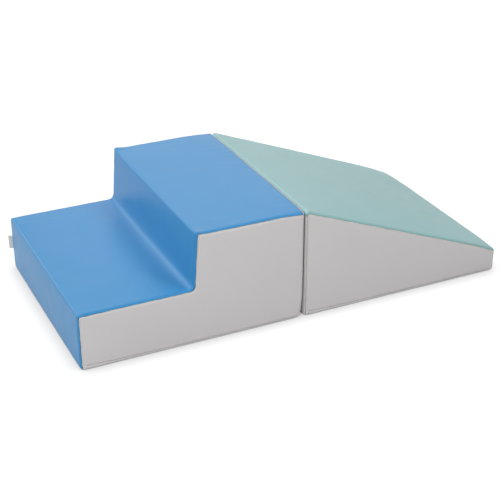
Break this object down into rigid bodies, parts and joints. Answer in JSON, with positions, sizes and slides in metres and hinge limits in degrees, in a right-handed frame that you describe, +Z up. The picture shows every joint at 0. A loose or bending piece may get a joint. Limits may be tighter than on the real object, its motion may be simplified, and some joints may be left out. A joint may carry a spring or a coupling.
{
  "type": "soft play foam climber",
  "caption": "Foam step block and wedge ramp in soft vinyl covers, held end to end by hook-and-loop strips, for toddlers to climb up and slide down.",
  "frame": {"origin": "on the floor, under the middle of the footprint of the two joined blocks", "axes": "+X from the steps to the low end of the ramp, +Z up, -Y the near side of the picture"},
  "size_m": [1.2339, 0.6161, 0.3115],
  "materials": {
    "foam": "matte",
    "blue_vinyl": "satin",
    "mint_vinyl": "satin",
    "grey_vinyl": "satin",
    "base_fabric": "matte",
    "zip_tape": "matte",
    "zip_coil": "satin",
    "zip_slider": "satin",
    "hook_tape": "matte",
    "loop_tape": "matte",
    "tag": "matte"
  },
  "bodies": {
    "steps_block": {"steps_foam_base_slab": "foam", "steps_foam_upper_slab": "foam", "steps_tread_strip": "blue_vinyl", "steps_side_panel_near": "grey_vinyl", "steps_side_panel_far": "grey_vinyl", "steps_back_panel": "grey_vinyl", "steps_base_panel_front": "base_fabric", "steps_base_panel_rear": "base_fabric", "steps_zip_tape_front": "zip_tape", "steps_zip_tape_rear": "zip_tape", "steps_zip_chain": "zip_coil", "steps_hook_strip_low": "hook_tape", "steps_hook_strip_high": "hook_tape", "steps_blank_tag": "tag"},
    "steps_zip_slider": {"steps_zip_slider": "zip_slider"},
    "ramp_block": {"ramp_foam_wedge": "foam", "ramp_slope_strip": "mint_vinyl", "ramp_side_panel_near": "grey_vinyl", "ramp_side_panel_far": "grey_vinyl", "ramp_back_panel": "grey_vinyl", "ramp_lip_panel": "grey_vinyl", "ramp_base_panel_front": "base_fabric", "ramp_base_panel_rear": "base_fabric", "ramp_zip_tape_front": "zip_tape", "ramp_zip_tape_rear": "zip_tape", "ramp_zip_chain": "zip_coil", "ramp_loop_strip_low": "loop_tape", "ramp_loop_strip_high": "loop_tape"},
    "ramp_zip_slider": {"ramp_zip_slider": "zip_slider"}
  },
  "joints": [
    {"name": "ramp_pull_off", "type": "slide", "parent": "steps_block", "child": "ramp_block", "axis": [1, 0, 0], "range_m": [0, 0.4]},
    {"name": "steps_zip_slide", "type": "slide", "parent": "steps_block", "child": "steps_zip_slider", "axis": [0, -1, 0], "range_m": [0, 0.52], "deforming": ["steps_zip_chain"]},
    {"name": "ramp_zip_slide", "type": "slide", "parent": "ramp_block", "child": "ramp_zip_slider", "axis": [0, -1, 0], "range_m": [0, 0.52], "deforming": ["ramp_zip_chain"]}
  ]
}
